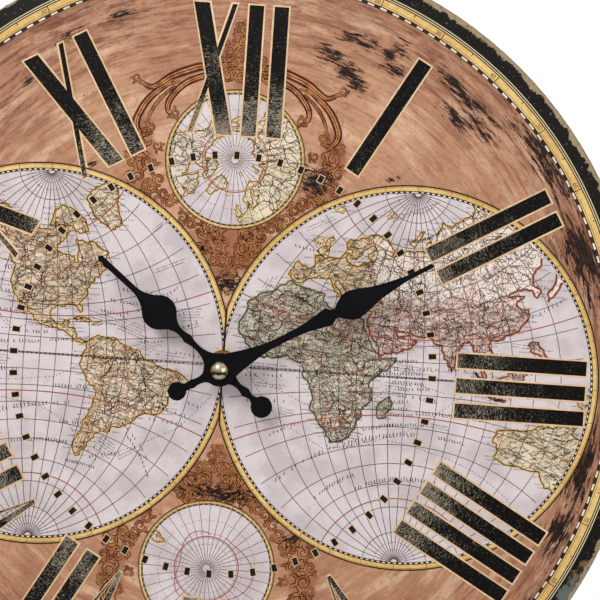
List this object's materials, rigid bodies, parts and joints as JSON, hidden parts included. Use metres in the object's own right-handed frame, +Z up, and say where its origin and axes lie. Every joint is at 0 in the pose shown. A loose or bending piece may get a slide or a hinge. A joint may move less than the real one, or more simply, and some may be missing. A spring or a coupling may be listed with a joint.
{
  "type": "wall clock",
  "caption": "Round frameless wall clock: board dial printed with a two-hemisphere world map and Roman numerals, black spade hands, battery quartz movement with a hanger behind.",
  "frame": {"origin": "centre of the hanger's nail hole, in the plane of the wall", "axes": "+Y from the dial to the wall along the hand shaft, +Z up, +X to the right seen from the front"},
  "size_m": [0.34, 0.0342, 0.34],
  "materials": {
    "board": "raw brown wood fibre, painted edge",
    "print": "matte printed sheet with a world map and Roman numerals",
    "hand_black": "matte black",
    "brass": "turned, slightly dull",
    "nickel": "polished nickel, warm tint",
    "rubber": "matte",
    "zinc_steel": "zinc-plated sheet",
    "case_black": "moulded, fine matte",
    "plate_white": "moulded",
    "wheel_white": "moulded",
    "wheel_red": "moulded",
    "steel": "ground",
    "iron": "stamped",
    "magnet": "dark sintered",
    "copper": "enamelled copper wire",
    "circuit": "green lacquer",
    "resin": "cast",
    "cell_sleeve": "printed sleeve, dark body and copper end"
  },
  "bodies": {
    "clock": {"dial_board": "board", "dial_print": "print", "mounting_nut": "brass", "nut_washer": "brass", "threaded_bush": "brass", "rubber_washer": "rubber", "hanger_plate": "zinc_steel", "case_front": "case_black", "case_back": "case_black", "train_plate": "plate_white", "train_bridge": "plate_white", "stator": "iron", "coil_core": "iron", "coil_bobbin": "plate_white", "coil_winding": "copper", "circuit_board": "circuit", "chip_blob": "resin", "quartz_crystal": "zinc_steel", "contact_positive": "zinc_steel", "contact_negative": "zinc_steel"},
    "minute": {"minute_hand": "hand_black", "minute_collet": "brass", "cap_nut": "nickel", "minute_arbor": "brass", "cannon_pinion": "steel", "clutch_spring": "zinc_steel"},
    "hour": {"hour_hand": "hand_black", "hour_collet": "brass", "hour_wheel": "wheel_white"},
    "motion_wheel": {"minute_wheel": "wheel_white"},
    "knob": {"setting_knob": "wheel_red"},
    "seconds": {"fourth_wheel": "wheel_white"},
    "third": {"third_wheel": "wheel_white"},
    "center": {"center_wheel": "wheel_white"},
    "intermediate": {"intermediate_wheel": "wheel_white"},
    "rotor": {"rotor_pinion": "steel", "rotor_magnet": "magnet"},
    "cell": {"battery": "cell_sleeve", "battery_cap": "zinc_steel"}
  },
  "joints": [
    {"name": "minute_spin", "type": "hinge", "parent": "clock", "child": "minute", "pos_m": [0, 0, -0.0375], "axis": [0, 1, 0], "continuous": true},
    {"name": "hour_spin", "type": "hinge", "parent": "clock", "child": "hour", "pos_m": [0, 0, -0.0375], "axis": [0, 1, 0], "continuous": true},
    {"name": "motion_wheel_spin", "type": "hinge", "parent": "clock", "child": "motion_wheel", "pos_m": [-0.009, 0, -0.0375], "axis": [0, 1, 0], "continuous": true},
    {"name": "knob_spin", "type": "hinge", "parent": "clock", "child": "knob", "pos_m": [-0.01478, 0, -0.03061], "axis": [0, 1, 0], "continuous": true},
    {"name": "seconds_spin", "type": "hinge", "parent": "clock", "child": "seconds", "pos_m": [0, 0, -0.0375], "axis": [0, 1, 0], "continuous": true},
    {"name": "third_spin", "type": "hinge", "parent": "clock", "child": "third", "pos_m": [0.00846, 0, -0.03442], "axis": [0, 1, 0], "continuous": true},
    {"name": "center_spin", "type": "hinge", "parent": "clock", "child": "center", "pos_m": [0, 0, -0.0375], "axis": [0, 1, 0], "continuous": true},
    {"name": "intermediate_spin", "type": "hinge", "parent": "clock", "child": "intermediate", "pos_m": [-0.00385, 0, -0.02923], "axis": [0, 1, 0], "continuous": true},
    {"name": "rotor_spin", "type": "hinge", "parent": "clock", "child": "rotor", "pos_m": [-0.00735, 0, -0.02317], "axis": [0, 1, 0], "continuous": true},
    {"name": "battery_slide", "type": "slide", "parent": "clock", "child": "cell", "axis": [0, 1, 0], "range_m": [0, 0.02]}
  ],
  "couplings": [
    {"joint": "hour_spin", "follows": "minute_spin", "ratio": 0.083333},
    {"joint": "motion_wheel_spin", "follows": "minute_spin", "ratio": -0.33333},
    {"joint": "knob_spin", "follows": "minute_spin", "ratio": 1},
    {"joint": "third_spin", "follows": "seconds_spin", "ratio": -0.13333},
    {"joint": "center_spin", "follows": "seconds_spin", "ratio": 0.016667},
    {"joint": "intermediate_spin", "follows": "seconds_spin", "ratio": -5},
    {"joint": "rotor_spin", "follows": "seconds_spin", "ratio": 30}
  ]
}
